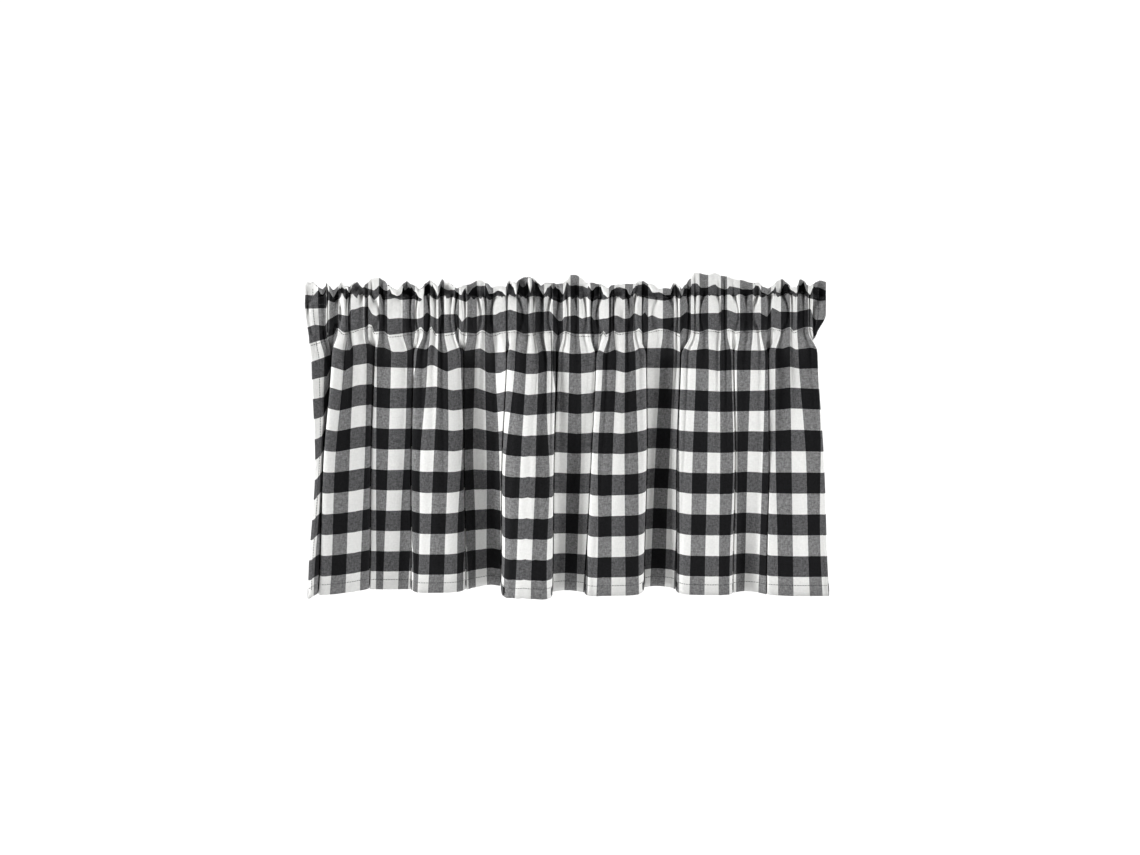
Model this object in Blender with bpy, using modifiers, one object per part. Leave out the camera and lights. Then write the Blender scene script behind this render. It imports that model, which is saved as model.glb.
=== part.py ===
"""Window valance: one cut length of woven check cotton, gathered on a rod pocket.

The cloth is turned over at the top and sewn in two rows, which leaves a ruffled heading above
a hollow rod pocket. Below the pocket it hangs in broad panels with deep narrow pleats between
them. The front faces -Y, +X is to the right and +Z is up. The origin is the middle of the
upper row of stitches, where the valance hangs from its rod. All sizes are in metres.
"""
import bpy
import numpy as np

MM = 0.001

# The cloth as it is cut
STRIPE = 19.6 * MM         # width of one woven stripe, which is the unit of the u columns below
STRIPES = 58
CHECK = 25.4 * MM          # height of one woven band
BODY_CHECKS = 12.95        # bands from the lower row of stitches to the hem
THICKNESS = 1.1 * MM

# The rod pocket in side view: distance forward of the upper stitches, and height
POCKET_FRONT = ((9.5, -3.0), (14.5, -15.0), (13.0, -28.0))
POCKET_BACK = ((-9.5, -3.0), (-13.5, -15.0), (-8.5, -28.0))
LOWER_STITCH = (6.0, -40.5)
PLEAT_PLANE = 8.0 * MM     # how far the table's depth zero lies behind the upper stitches' plane
ROD_SAG = 5.0 * MM         # the rod bends by this at mid length
ROD_HALF = 315.0 * MM
LEFT_DROOP = 12.0 * MM     # the cloth past the rod's left end sinks by this
LEFT_DROOP_WIDTH = 30.0 * MM
RIGHT_DROOP = 5.0 * MM
RIGHT_DROOP_WIDTH = 22.0 * MM
DROOP_TAKEN_UP = 0.85      # share of the droop that is gone again at the hem
GATHER_DEPTH = 4.5 * MM    # greatest half depth of a gather on the stitches
ROD_SHARE = 0.6            # share of that depth which is left where the cloth lies on the rod
MOUTH_SHARE = 0.2          # the same for a pleat's mouth

# The heading above the upper stitches, its height and forward reach in mm
HEADING_BACK = (26.0, -9.0)      # of a lobe that leans back
HEADING_FORE = (13.0, 13.0)      # of a lobe that flops forward

# Pleats
STEEPEST_MOUTH = 0.6       # greatest depth of a pleat's mouth on the stitches over its width
MOUTH = 2.8 * MM           # opening between the two walls of a pleat
LOOP = 7.0 * MM            # width of the loop behind it
LOOP_OPENING = 0.2         # how fast the loop widens with its depth
LEAST_LOOP = 7.0 * MM      # least depth of a loop behind the panel that lies further back
LOOP_LEAN = 0.3            # how much a loop leans in behind the panel that bulges over it
MOST_LEAN = 0.6 * LOOP
NECK = (0.6, 0.3)          # a neck point's share of the wall's reach, and of the lean
SHOULDER = (0.7, 0.8)      # a shoulder point's height over the loop's half width, and lean

# Panels from left to right, one row each. gathers: those it takes on the rod. u: its stripes,
# and x: its edges in mm, on the rod, under the pocket (top), at half height (mid) and near the
# hem. d: how far forward it stands, in mm, at its left edge, middle and right edge.
PANEL_COLUMNS = ("gathers", "rod_x0", "rod_x1",
                 "top_u0", "top_u1", "top_x0", "top_x1",
                 "mid_u0", "mid_u1", "mid_x0", "mid_x1",
                 "hem_u0", "hem_u1", "hem_x0", "hem_x1",
                 "top_d0", "top_dm", "top_d1", "hem_d0", "hem_dm", "hem_d1")
PANELS = (
    (2, -314, -289, 0.0, 2.0, -306, -283, 0.0, 1.1, -302, -293, 0.0, 1.5, -310, -296,
     10, 6, -2, 34, 36, 30),
    (2, -271, -241, 4.25, 7.45, -283, -231, 4.25, 7.35, -292, -236, 4.2, 7.55, -296, -236,
     13, 2, -16, 33, 20, 7),
    (3, -227, -192, 8.9, 11.35, -231, -184, 8.65, 11.45, -236, -187, 8.55, 12.1, -236, -187,
     -4, 0, -2, 4, 0, 3),
    (3, -173, -134, 12.9, 17.1, -184, -124, 13.45, 17.1, -187, -124, 12.9, 18.1, -187, -122,
     -2, 5, -5, 10, 12, 3),
    (3, -116, -77, 19.3, 22.7, -124, -72, 19.45, 22.15, -124, -78, 18.9, 22.0, -122, -79,
     -5, 2, 12, -4, -20, -18),
    (4, -66, -14, 24.5, 29.2, -72, -13, 24.8, 28.3, -78, -16, 24.6, 28.5, -79, -17,
     10, 21, 10, 19, 33, 27),
    (2, -5, 27, 30.0, 32.9, -11, 35, 30.2, 32.65, -16, 29, 30.2, 33.1, -17, 23,
     10, 20, 13, 9, 3, 13),
    (3, 46, 87, 34.6, 38.7, 35, 95, 34.6, 38.55, 29, 96, 33.9, 38.5, 23, 93,
     11, 9, 0, 23, 21, 14),
    (3, 99, 136, 40.1, 43.0, 95, 136, 40.5, 42.5, 96, 132, 40.5, 43.2, 93, 131,
     -6, -5, -3, -6, -13, 1),
    (3, 149, 194, 44.05, 48.15, 136, 200, 43.9, 48.1, 132, 202, 43.7, 48.3, 131, 199,
     0, 5, 9, 16, 23, 22),
    (2, 205, 235, 48.85, 51.2, 200, 241, 48.9, 51.4, 202, 242, 48.7, 51.5, 199, 240,
     10, 12, 13, 16, 11, 22),
    (3, 251, 289, 52.55, 56.0, 241, 298, 52.6, 56.2, 242, 309, 52.2, 57.0, 240, 313,
     4, 0, 4, 26, 31, 35),
)
TAIL_REACH = (0.55, 0.8)   # how far the right edge folds in and back, as shares of its cloth
PLEAT_POINTS = 5
END_POINTS = 4
ROD_END_X = 311.0 * MM
BODY_LEVELS = (0.4, 0.9, 1.5, 2.2, 4.3, 6.5, 8.3, 10.0, 11.5, BODY_CHECKS)
LEVEL_BANDS = (1.5, 6.5, 11.5)   # bands below the pocket of the table's top, mid and hem
LEAST_DROP = 0.9           # least share of its length by which the cloth drops
MOUTH_LEVEL = 1.3          # bands below the pocket by which the pleats' mouths have closed
PLEAT_LEVEL = 2.2          # and by which the gathers have run out into the full pleats

# Heading lobes that lean back, as x in mm of each crest
BACK_LOBES = (-312, -288, -271, -253, -228, -192, -164, -147, -106, -70, -53, -41, -20,
              5, 40, 64, 89, 128, 158, 180, 203, 257, 282, 308)


def smooth(t):
    """Ease from 0 to 1: 3t^2 - 2t^3 on t held between 0 and 1."""
    t = np.clip(t, 0.0, 1.0)
    return t * t * (3.0 - 2.0 * t)


def panel(row, column):
    return PANELS[row][PANEL_COLUMNS.index(column)]


def depth(row, level, place):
    """Forward reach of a panel at one of its three places. Half height is the mean of the two."""
    if level == "mid":
        return 0.5 * (panel(row, "top_" + place) + panel(row, "hem_" + place)) * MM
    return panel(row, level + "_" + place) * MM


def hung_section(level):
    """Plan of the cloth at a level of the table: u, x and forward reach, one value a column.

    A panel is a parabola through its three depths. A pleat runs straight back from one
    panel's edge, round a loop, and forward to the next edge. The loop lies as far back as the
    cloth between the two edges lets it.
    """
    u, x, d = [], [], []
    for i in range(len(PANELS)):
        u0, u1 = panel(i, level + "_u0"), panel(i, level + "_u1")
        x0 = panel(i, level + "_x0") * MM + (0.5 * MOUTH if i else 0.0)
        x1 = panel(i, level + "_x1") * MM - 0.5 * MOUTH
        d0, dm, d1 = (depth(i, level, k) for k in ("d0", "dm", "d1"))
        f = np.linspace(0.0, 1.0, 2 * panel(i, "gathers") + 1)
        u.extend(u0 + (u1 - u0) * f)
        x.extend(x0 + (x1 - x0) * f)
        d.extend(d0 * (1 - f) * (1 - 2 * f) + dm * 4 * f * (1 - f) + d1 * f * (2 * f - 1))
        if i + 1 == len(PANELS):
            break
        u2, x2 = panel(i + 1, level + "_u0"), panel(i + 1, level + "_x0") * MM + 0.5 * MOUTH
        d2 = depth(i + 1, level, "d0")
        hidden = (u2 - u1) * STRIPE
        back = min(0.5 * (d1 + d2 - hidden) + 0.25 * LOOP, min(d1, d2) - LEAST_LOOP)
        half = min(0.5 * LOOP, 0.5 * MOUTH + LOOP_OPENING * (min(d1, d2) - back))
        lean = (d1 - dm) + (depth(i + 1, level, "dm") - d2)
        lean = np.clip(lean * LOOP_LEAN, -MOST_LEAN, MOST_LEAN)
        middle = 0.5 * (x1 + x2)
        shoulder = back + SHOULDER[0] * half
        u.extend(u1 + (u2 - u1) * np.linspace(0.0, 1.0, PLEAT_POINTS + 2)[1:-1])
        x.extend((middle - 0.5 * MOUTH + NECK[1] * lean, middle - half + SHOULDER[1] * lean,
                  middle + lean,
                  middle + half + SHOULDER[1] * lean, middle + 0.5 * MOUTH + NECK[1] * lean))
        d.extend((back + NECK[0] * (d1 - back), shoulder, back,
                  shoulder, back + NECK[0] * (d2 - back)))
    tail = (STRIPES - u[-1]) * STRIPE
    f = np.linspace(0.0, 1.0, END_POINTS + 1)[1:]
    u.extend(u[-1] + (STRIPES - u[-1]) * f)
    x.extend(x[-1] - TAIL_REACH[0] * tail * f * f)
    d.extend(d[-1] - TAIL_REACH[1] * tail * f)
    return np.array(u), np.array(x), np.array(d)


def hung_plan(v, rod_x, rod_d):
    """x and forward reach of the body v bands below the pocket.

    The three levels of the table are joined by straight lines, and the gathers on the rod
    ease into the uppermost level over the first bands.
    """
    levels = [hung_section(name)[1:] for name in ("top", "mid", "hem")]
    place = np.interp(v, LEVEL_BANDS, (0.0, 1.0, 2.0))
    k = min(int(place), 1)
    x, d = (levels[k][j] + (levels[k + 1][j] - levels[k][j]) * (place - k) for j in (0, 1))
    close = smooth(v / MOUTH_LEVEL)
    deepen = smooth(v / PLEAT_LEVEL)
    return rod_x + (x - rod_x) * close, rod_d + (d - rod_d) * deepen


def trough_depth(cloth, width):
    """Depth of a V of the given width that takes up a length of cloth: half sqrt(l^2 - w^2)."""
    return 0.5 * np.sqrt(max(cloth ** 2 - width ** 2, 0.0))


def rod_section():
    """Plan of the cloth on the rod: x, and the gathers' reach on the stitches and on the rod.

    Every panel zigzags in its own gathers, which take up the cloth that its width can't, as
    far as they may stand out. Each pleat is one deeper trough.
    """
    x, wave, mouth = [], [], []
    reach = []
    for i in range(len(PANELS)):
        width = (panel(i, "rod_x1") - panel(i, "rod_x0")) * MM
        spare = trough_depth((panel(i, "top_u1") - panel(i, "top_u0")) * STRIPE, width)
        reach.append(min(0.5 * spare / panel(i, "gathers"), GATHER_DEPTH))
    for i in range(len(PANELS)):
        n = 2 * panel(i, "gathers") + 1
        x1 = panel(i, "rod_x1") * MM
        x.extend(np.linspace(panel(i, "rod_x0") * MM, x1, n))
        wave.extend(reach[i] * (-1.0) ** np.arange(n))
        mouth.extend(np.zeros(n))
        if i + 1 == len(PANELS):
            break
        width = panel(i + 1, "rod_x0") * MM - x1
        hidden = (panel(i + 1, "top_u0") - panel(i, "top_u1")) * STRIPE
        deeper = min(trough_depth(hidden, width), STEEPEST_MOUTH * width) - GATHER_DEPTH
        f = np.linspace(0.0, 1.0, PLEAT_POINTS + 2)[1:-1]
        crest = reach[i] + (reach[i + 1] - reach[i]) * f
        trough = smooth(1.0 - np.abs(2 * f - 1))
        x.extend(x1 + width * f)
        wave.extend(crest - (crest + GATHER_DEPTH) * trough)
        mouth.extend(-max(deeper, 0.0) * trough)
    f = np.linspace(0.0, 1.0, END_POINTS + 1)[1:]
    x.extend(x[-1] + (ROD_END_X - x[-1]) * f)
    wave.extend(reach[-1] * np.cos(np.pi * f))
    mouth.extend(np.zeros(END_POINTS))
    return np.array(x), np.array(wave), np.array(mouth)


def droop(x):
    """How far the cloth past the rod's two ends has sunk, at the stitches."""
    left = LEFT_DROOP * smooth((x[0] + LEFT_DROOP_WIDTH - x) / LEFT_DROOP_WIDTH)
    right = RIGHT_DROOP * smooth((x - x[-1] + RIGHT_DROOP_WIDTH) / RIGHT_DROOP_WIDTH)
    return left + right


def hang(x):
    """Height of the upper stitches at x: the rod's sag less the droop of the two ends."""
    return -ROD_SAG * (1.0 - (x / ROD_HALF) ** 2) - droop(x)


def lobe_wave(x):
    """Ruffle of the heading's top edge: +1 on a lobe that leans back, -1 between two."""
    crests = np.array(BACK_LOBES) * MM
    phase = np.interp(x, crests, np.arange(len(crests)))
    return np.cos(2 * np.pi * phase)


def cloth_rows():
    """All rows of the cloth as arrays of points, by the part of the valance they belong to."""
    rod_x, wave, mouth = rod_section()
    high = hang(rod_x)
    back = 0.5 + 0.5 * lobe_wave(rod_x)

    def on_rod(forward, height, share=1.0, mouth_share=1.0):
        reach = forward * MM + share * wave + mouth_share * mouth
        return np.stack((rod_x, -reach, height * MM + high), axis=1)

    lobe_z = (HEADING_FORE[0] + (HEADING_BACK[0] - HEADING_FORE[0]) * back)
    lobe_d = (HEADING_FORE[1] + (HEADING_BACK[1] - HEADING_FORE[1]) * back)
    upper = on_rod(0.0, 0.0)
    lower = on_rod(*LOWER_STITCH)
    top_edge = np.stack((rod_x, -lobe_d * MM, lobe_z * MM + high), axis=1)
    half_way = 0.5 * (upper + top_edge)
    heading = [top_edge, half_way]
    front = [on_rod(d, z, ROD_SHARE, MOUTH_SHARE) for d, z in POCKET_FRONT]
    rear = [on_rod(d, z, ROD_SHARE, MOUTH_SHARE) for d, z in POCKET_BACK]

    body = []
    v, row = 0.0, lower
    for next_v in BODY_LEVELS:
        x, d = hung_plan(next_v, rod_x, LOWER_STITCH[0] * MM + PLEAT_PLANE + wave + mouth)
        length = (next_v - v) * CHECK
        shift = np.hypot(x - row[:, 0], PLEAT_PLANE - d - row[:, 1])
        drop = np.sqrt(np.maximum(length ** 2 - shift ** 2, (LEAST_DROP * length) ** 2))
        drop -= DROOP_TAKEN_UP * droop(rod_x) * (next_v - v) / BODY_CHECKS
        row = np.stack((x, PLEAT_PLANE - d, row[:, 2] - drop), axis=1)
        v = next_v
        body.append(row)
    return heading, upper, front, rear, lower, body


def clear_scene():
    for ob in list(bpy.data.objects):
        bpy.data.objects.remove(ob, do_unlink=True)


def woven_cotton():
    """Black and white check cotton, as the plain grey that the two make together."""
    mat = bpy.data.materials.new("woven_check_cotton")
    mat.use_nodes = True
    shader = mat.node_tree.nodes["Principled BSDF"]
    shader.inputs["Base Color"].default_value = (0.22, 0.22, 0.22, 1.0)
    shader.inputs["Roughness"].default_value = 0.9
    shader.inputs["Metallic"].default_value = 0.0
    return mat


def make_valance():
    """The open sheet as one mesh of rows, with Solidify for the cloth's thickness.

    The front and rear walls of the pocket share the two rows of stitches, so the sheet
    branches there and Solidify works in its complex mode.
    """
    heading, upper, front, rear, lower, body = cloth_rows()
    rows = heading + [upper] + front + rear + [lower] + body
    first_rear = len(heading) + 1 + len(front)
    stitch = first_rear + len(rear)
    strips = (list(range(0, first_rear)) + [stitch],
              [len(heading)] + list(range(first_rear, stitch + 1)),
              list(range(stitch, len(rows))))
    columns = len(upper)
    faces = []
    for strip in strips:
        for a, b in zip(strip[:-1], strip[1:]):
            for k in range(columns - 1):
                faces.append((a * columns + k, a * columns + k + 1,
                              b * columns + k + 1, b * columns + k))
    mesh = bpy.data.meshes.new("valance_cloth")
    mesh.from_pydata(np.concatenate(rows).tolist(), [], faces)
    mesh.update()
    mesh.materials.append(woven_cotton())
    mesh.shade_smooth()
    valance = bpy.data.objects.new("valance_cloth", mesh)
    solidify = valance.modifiers.new("cloth_thickness", "SOLIDIFY")
    solidify.solidify_mode = "NON_MANIFOLD"
    solidify.nonmanifold_thickness_mode = "CONSTRAINTS"
    solidify.nonmanifold_boundary_mode = "FLAT"
    solidify.nonmanifold_merge_threshold = 0.0001
    solidify.thickness = THICKNESS
    solidify.offset = 0.0
    return valance


clear_scene()
collection = bpy.data.collections.new("window_valance")
bpy.context.scene.collection.children.link(collection)
collection.objects.link(make_valance())
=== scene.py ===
"""Window valance in black and white buffalo check cotton, gathered on a rod pocket."""

import bpy
import numpy as np
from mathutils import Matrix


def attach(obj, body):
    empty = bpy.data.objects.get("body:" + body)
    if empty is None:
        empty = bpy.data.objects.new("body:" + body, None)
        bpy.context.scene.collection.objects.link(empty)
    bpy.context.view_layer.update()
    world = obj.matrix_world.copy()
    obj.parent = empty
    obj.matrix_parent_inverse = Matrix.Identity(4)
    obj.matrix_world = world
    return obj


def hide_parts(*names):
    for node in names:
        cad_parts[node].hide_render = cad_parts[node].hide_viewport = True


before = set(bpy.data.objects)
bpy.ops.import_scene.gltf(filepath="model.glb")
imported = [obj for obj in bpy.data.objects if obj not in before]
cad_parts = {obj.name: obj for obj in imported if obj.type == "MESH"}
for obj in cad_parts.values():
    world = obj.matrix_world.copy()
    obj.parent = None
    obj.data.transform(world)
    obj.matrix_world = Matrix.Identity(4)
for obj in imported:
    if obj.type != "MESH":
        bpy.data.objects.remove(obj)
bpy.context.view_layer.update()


# Camera and room. The photograph looks at the valance from the front and a little above, so
# the folds that stand forward hang lower in it. A pale floor lies far below.
MM = 0.001
PHOTO_SIZE = (1140, 855)
PHOTO_MIDDLE = 567.0          # the valance's middle, in pixels from the photo's left edge
PIXEL = 1.2 * MM              # real size of one pixel at the valance
LOOK_DOWN = np.radians(16.0)
CAMERA_DISTANCE = 4.5
SENSOR = 36.0
TARGET_DROP = 0.1642          # the photo's middle, below the upper stitches

camera_data = bpy.data.cameras.new("camera")
camera_data.sensor_width = SENSOR
camera_data.lens = SENSOR * CAMERA_DISTANCE / (PHOTO_SIZE[0] * PIXEL)
camera = bpy.data.objects.new("camera", camera_data)
bpy.context.scene.collection.objects.link(camera)
camera.location = ((0.5 * PHOTO_SIZE[0] - PHOTO_MIDDLE) * PIXEL,
                   -CAMERA_DISTANCE * np.cos(LOOK_DOWN),
                   CAMERA_DISTANCE * np.sin(LOOK_DOWN) - TARGET_DROP)
camera.rotation_euler = (0.5 * np.pi - LOOK_DOWN, 0.0, 0.0)
bpy.context.scene.camera = camera
bpy.context.scene.view_settings.view_transform = "Standard"


def linear(hex_colour):
    """sRGB hex to linear RGBA: c / 12.92 up to 0.04045, else ((c + 0.055) / 1.055)^2.4."""
    srgb = np.array([int(hex_colour[i:i + 2], 16) / 255.0 for i in (1, 3, 5)])
    rgb = np.where(srgb <= 0.04045, srgb / 12.92, ((srgb + 0.055) / 1.055) ** 2.4)
    return (*rgb.tolist(), 1.0)


def grid_mesh(name, points, uv=None):
    """Mesh of a grid of points (rows, columns, 3), with each point's uv on its corners."""
    rows, columns = points.shape[:2]
    index = np.arange(rows * columns).reshape(rows, columns)
    quads = np.stack((index[:-1, :-1], index[1:, :-1], index[1:, 1:], index[:-1, 1:]), axis=-1)
    quads = quads.reshape(-1, 4)
    mesh = bpy.data.meshes.new(name)
    mesh.from_pydata(points.reshape(-1, 3), [], quads)
    if uv is not None:
        layer = mesh.uv_layers.new(name="cloth")
        layer.data.foreach_set("uv", uv.reshape(-1, 2)[quads.ravel()].ravel())
    mesh.shade_smooth()
    piece = bpy.data.objects.new(name, mesh)
    bpy.context.scene.collection.objects.link(piece)
    return piece


FLOOR_DROP = 0.95
FLOOR_SIZE = 30.0
floor_line = np.linspace(-0.5 * FLOOR_SIZE, 0.5 * FLOOR_SIZE, 3)
floor_x, floor_y = np.meshgrid(floor_line, floor_line)
floor = grid_mesh("floor", np.stack((floor_x[::-1], floor_y[::-1],
                                     np.full_like(floor_x, -FLOOR_DROP)), axis=-1))
paint = bpy.data.materials.new("white_matt_paint")
paint.use_nodes = True
paint.node_tree.nodes["Principled BSDF"].inputs["Base Color"].default_value = linear("#FAFAFA")
paint.node_tree.nodes["Principled BSDF"].inputs["Roughness"].default_value = 0.9
floor.data.materials.append(paint)

world = bpy.data.worlds.new("studio")
world.use_nodes = True
world.node_tree.nodes["Background"].inputs["Color"].default_value = (1.0, 1.0, 1.0, 1.0)
world.node_tree.nodes["Background"].inputs["Strength"].default_value = 0.06
bpy.context.scene.world = world


def softbox(name, place, aim, size, power):
    """Square area light at a place, turned to aim at a point."""
    data = bpy.data.lights.new(name, "AREA")
    data.size = size
    data.energy = power
    lamp = bpy.data.objects.new(name, data)
    bpy.context.scene.collection.objects.link(lamp)
    lamp.location = place
    way = np.array(aim) - np.array(place)
    lamp.rotation_euler = (np.arccos(-way[2] / np.linalg.norm(way)), 0.0,
                           np.arctan2(-way[0], way[1]))


# Two softboxes stand far out at the sides, so that the folds shade one another. A wide one
# looks straight down on the floor behind and turns it white.
softbox("left_light", place=(-3.0, -1.05, 0.75), aim=(0.0, 0.0, -0.2), size=1.0, power=117.0)
softbox("right_light", place=(3.0, -1.1, 0.75), aim=(0.0, 0.0, -0.2), size=1.0, power=79.0)
softbox("floor_light", place=(0.0, 6.2, 2.5), aim=(0.0, 6.2, 0.0), size=11.0, power=570.0)


# The cloth. One cut length of woven cotton, about 1.14 m by 0.52 m, hangs from its pocket.
# Twelve broad panels face the room. Between them the rest of the cloth lies in deep narrow
# pleats that loop back behind. On the rod the whole width is drawn up in small gathers.
STRIPE = 19.6 * MM            # woven width of one stripe
CHECK = 25.4 * MM             # woven height of one band
STRIPES = 58
TOP_EDGE_V = -3.42            # bands below the lower stitches, so above them it is negative
UPPER_STITCH_V = -2.15
HEM_V = 13.0

# Where the photo shows the edges between the stripes on the pocket, in pixels. Each row holds
# the stripes that begin in one panel and the pleat after it.
ROD_EDGES = (
    (305, 318, 326, 329), (338, 348, 350, 364.5), (368, 379, 387, 402.5), (415, 423.5, 430, 438.5),
    (444, 455), (459, 467, 477, 485, 493), (506, 507.5, 516.5, 528.5, 535), (544, 553),
    (563, 570.5, 579, 590.5), (599, 609, 614, 625, 633), (642, 648, 663, 674), (680, 691),
    (699.5, 708, 721, 727), (740, 753, 761), (771, 781, 790, 797), (808, 813, 826))

# The panels from left to right. At each level, top, mid and hem, a panel runs from its first
# to its last stripe number, and between them are the photo's pixels of its left edge, of each
# edge between two stripes, and of its right edge. Its depths top_d and hem_d are its forward
# reach in mm at its left edge, middle and right edge.
PANELS = (
    dict(top=(0, 311.5, 324.5, 331, 2), mid=(0, 315, 322.5, 323.3, 1.1),
         hem=(0, 308.5, 315, 320, 1.5), top_d=(10, 6, -2), hem_d=(34, 36, 30)),
    dict(top=(4.25, 331.5, 344, 353, 367, 374.5, 7.45),
         mid=(4.25, 323.3, 334.9, 349.6, 365, 370.7, 7.35),
         hem=(4.2, 320, 331.5, 346.5, 361, 370, 7.55), top_d=(11, 3, -9), hem_d=(33, 21, 8)),
    dict(top=(8.9, 374.5, 376.5, 391, 407.5, 413.5, 11.35),
         mid=(8.65, 370.7, 375.9, 387.8, 404.4, 411.5, 11.45),
         hem=(8.55, 370, 376, 383.5, 399.5, 410, 411.5, 12.1), top_d=(-6, -4, -6), hem_d=(3, -1, 0)),
    dict(top=(12.9, 413.5, 416, 427.5, 437.5, 448, 461, 463.5, 17.1),
         mid=(13.45, 411.5, 419.8, 433.4, 448.3, 461.9, 464, 17.1),
         hem=(12.9, 411.5, 413, 418.5, 429, 444.5, 457.5, 464, 465.7, 18.1),
         top_d=(-2, 5, -5), hem_d=(10, 12, 3)),
    dict(top=(19.3, 463.5, 475, 485, 495, 506.7, 22.7),
         mid=(19.45, 464, 473.1, 486.7, 499.7, 502.1, 22.15),
         hem=(18.9, 465.7, 467.5, 475.5, 486.5, 501.5, 22.0), top_d=(-9, -8, 6),
         hem_d=(-4, -20, -18)),
    dict(top=(24.5, 506.7, 514.5, 526, 538.8, 547.3, 552.7, 556, 29.2),
         mid=(24.8, 502.1, 504.9, 520.3, 535.8, 549.8, 554, 28.3),
         hem=(24.6, 501.5, 504, 516, 531.5, 547, 553, 28.5), top_d=(10, 21, 10),
         hem_d=(19, 33, 27)),
    dict(top=(30, 557.6, 569, 581.2, 596, 32.9),
         mid=(30.2, 554, 566.9, 581, 591.2, 32.65),
         hem=(30.2, 553, 565, 577.5, 585, 586, 33.1), top_d=(6, 12, 7), hem_d=(6, -2, 9)),
    dict(top=(34.6, 596, 602.4, 616.4, 624.8, 635.8, 646.4, 38.7),
         mid=(34.6, 591.2, 597.5, 612.3, 624.5, 638.5, 647, 38.55),
         hem=(33.9, 586, 587.5, 597, 611.5, 625.5, 639, 644.5, 38.5), top_d=(11, 9, 0),
         hem_d=(23, 21, 14)),
    dict(top=(40.1, 646.4, 660.2, 674.4, 680.5, 43), mid=(40.5, 647, 655.2, 669.7, 677, 42.5),
         hem=(40.5, 644.5, 651, 666, 675, 676.5, 43.2), top_d=(-9, -11, -7), hem_d=(-8, -15, -1)),
    dict(top=(44.05, 681, 696.1, 708.9, 720, 731.8, 734, 48.15),
         mid=(43.9, 677, 679, 692.2, 707.3, 720.4, 733.7, 735, 48.1),
         hem=(43.7, 676.5, 679, 690, 705, 719, 730, 733, 48.3), top_d=(0, 5, 9),
         hem_d=(16, 23, 22)),
    dict(top=(48.85, 734, 736.6, 750.7, 765.6, 768.2, 51.2),
         mid=(48.9, 735, 737.1, 747.3, 762.8, 769, 51.4),
         hem=(48.7, 733, 736, 745, 759.5, 767, 51.5), top_d=(10, 12, 13), hem_d=(16, 11, 22)),
    dict(top=(52.55, 768.2, 775, 790.3, 798.2, 818, 56),
         mid=(52.6, 769, 775.4, 791.5, 806.3, 821, 824.5, 56.2),
         hem=(52.2, 767, 777.5, 793, 809, 821.5, 828, 57), top_d=(4, 0, 4), hem_d=(26, 31, 35)),
)

LEVEL_V = (1.5, 6.5, 11.5)    # bands below the pocket of the three levels
MOUTH_V = 1.3                 # by here the mouths of the pleats have closed
PLEAT_V = 2.2                 # and by here the pleats have their full depth
MOUTH = 0.9 * MM              # width of a closed mouth
LOOP = 8.0 * MM               # governs the width of the loop behind a mouth
LEAST_LOOP = 7.0 * MM         # a loop's least depth behind the panel that lies further back
DEEPEST_LOOP = 27.0 * MM      # no loop lies further behind the table's depth zero
LOOP_LEAN = 0.3               # how far a loop leans in behind the panel that bulges over it
MOST_LEAN = 4.2 * MM
LOOP_EASE = 0.2               # the rounding of a loop saves this share of LOOP in depth
LOOP_CROWDING = 1.6           # above 1, the mesh's columns crowd towards a loop's end
CREST = dict(top=4.5 * MM, mid=6.5 * MM, hem=9.0 * MM)   # width over which a panel turns back
LEAST_CURL = 3.2 * MM         # how far it turns back there, at least
CURL = dict(top=0.3, mid=0.45, hem=0.6)    # and as a share of its step to the next panel
BURIED_CREST = 0.8 * MM       # both where it comes out from behind a nearer panel
PLEAT_PLANE = 8.0 * MM        # the table's depth zero lies this far behind the rod
BOW = 5.0 * MM                # half way down, the panels hang this far behind a straight line
PANEL_STEP = 2.0 * MM         # spacing of the mesh's columns on a panel
PLEAT_COLUMNS = 16
TAIL_COLUMNS = 12
TAIL_REACH = (0.55, 0.8)      # the right edge folds in and back, as shares of its cloth


def smooth(t):
    """Ease from 0 to 1: 3t^2 - 2t^3, with t held between 0 and 1."""
    t = np.clip(t, 0.0, 1.0)
    return t * t * (3.0 - 2.0 * t)


def nearness(forward, z):
    """Distance from the camera as a share of its distance from the photo's middle."""
    towards = forward * np.cos(LOOK_DOWN) + (z + TARGET_DROP) * np.sin(LOOK_DOWN)
    return 1.0 - towards / CAMERA_DISTANCE


def across(pixels, forward, z):
    """World x of the photo's pixels for cloth at a forward reach and a height."""
    return (pixels - 0.5 * PHOTO_SIZE[0]) * PIXEL * nearness(forward, z) + camera.location.x


def photo_row(forward, z):
    """The photo's pixel row in which the camera sees a point."""
    up = (z + TARGET_DROP) * np.cos(LOOK_DOWN) - forward * np.sin(LOOK_DOWN)
    return 0.5 * PHOTO_SIZE[1] - up / (PIXEL * nearness(forward, z))


def edges(row):
    """Stripe numbers and pixels along one panel at one level of the table."""
    inner = np.arange(np.floor(row[0]) + 1, np.ceil(row[-1]))
    return np.concatenate(([row[0]], inner, [row[-1]])), np.array(row[1:-1], dtype=float)


def panel_depth(panel, level):
    """A panel's forward reach at its left edge, middle and right edge. It bows back a little."""
    top, hem = np.array(panel["top_d"]) * MM, np.array(panel["hem_d"]) * MM
    return dict(top=top, mid=0.5 * (top + hem) - BOW, hem=hem)[level]


def crowded(count, crowding=0.11):
    """Shares from 0 to 1 that lie closer near both ends: f - crowding sin(2 pi f)."""
    f = np.linspace(0.0, 1.0, count)
    return f - crowding * np.sin(2 * np.pi * f)


def turn_back(step, level):
    """Width and depth by which a panel's edge turns back, from its step up to the next panel."""
    if step < -LEAST_CURL:
        return BURIED_CREST, BURIED_CREST
    return CREST[level], max(LEAST_CURL, CURL[level] * step)


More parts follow.
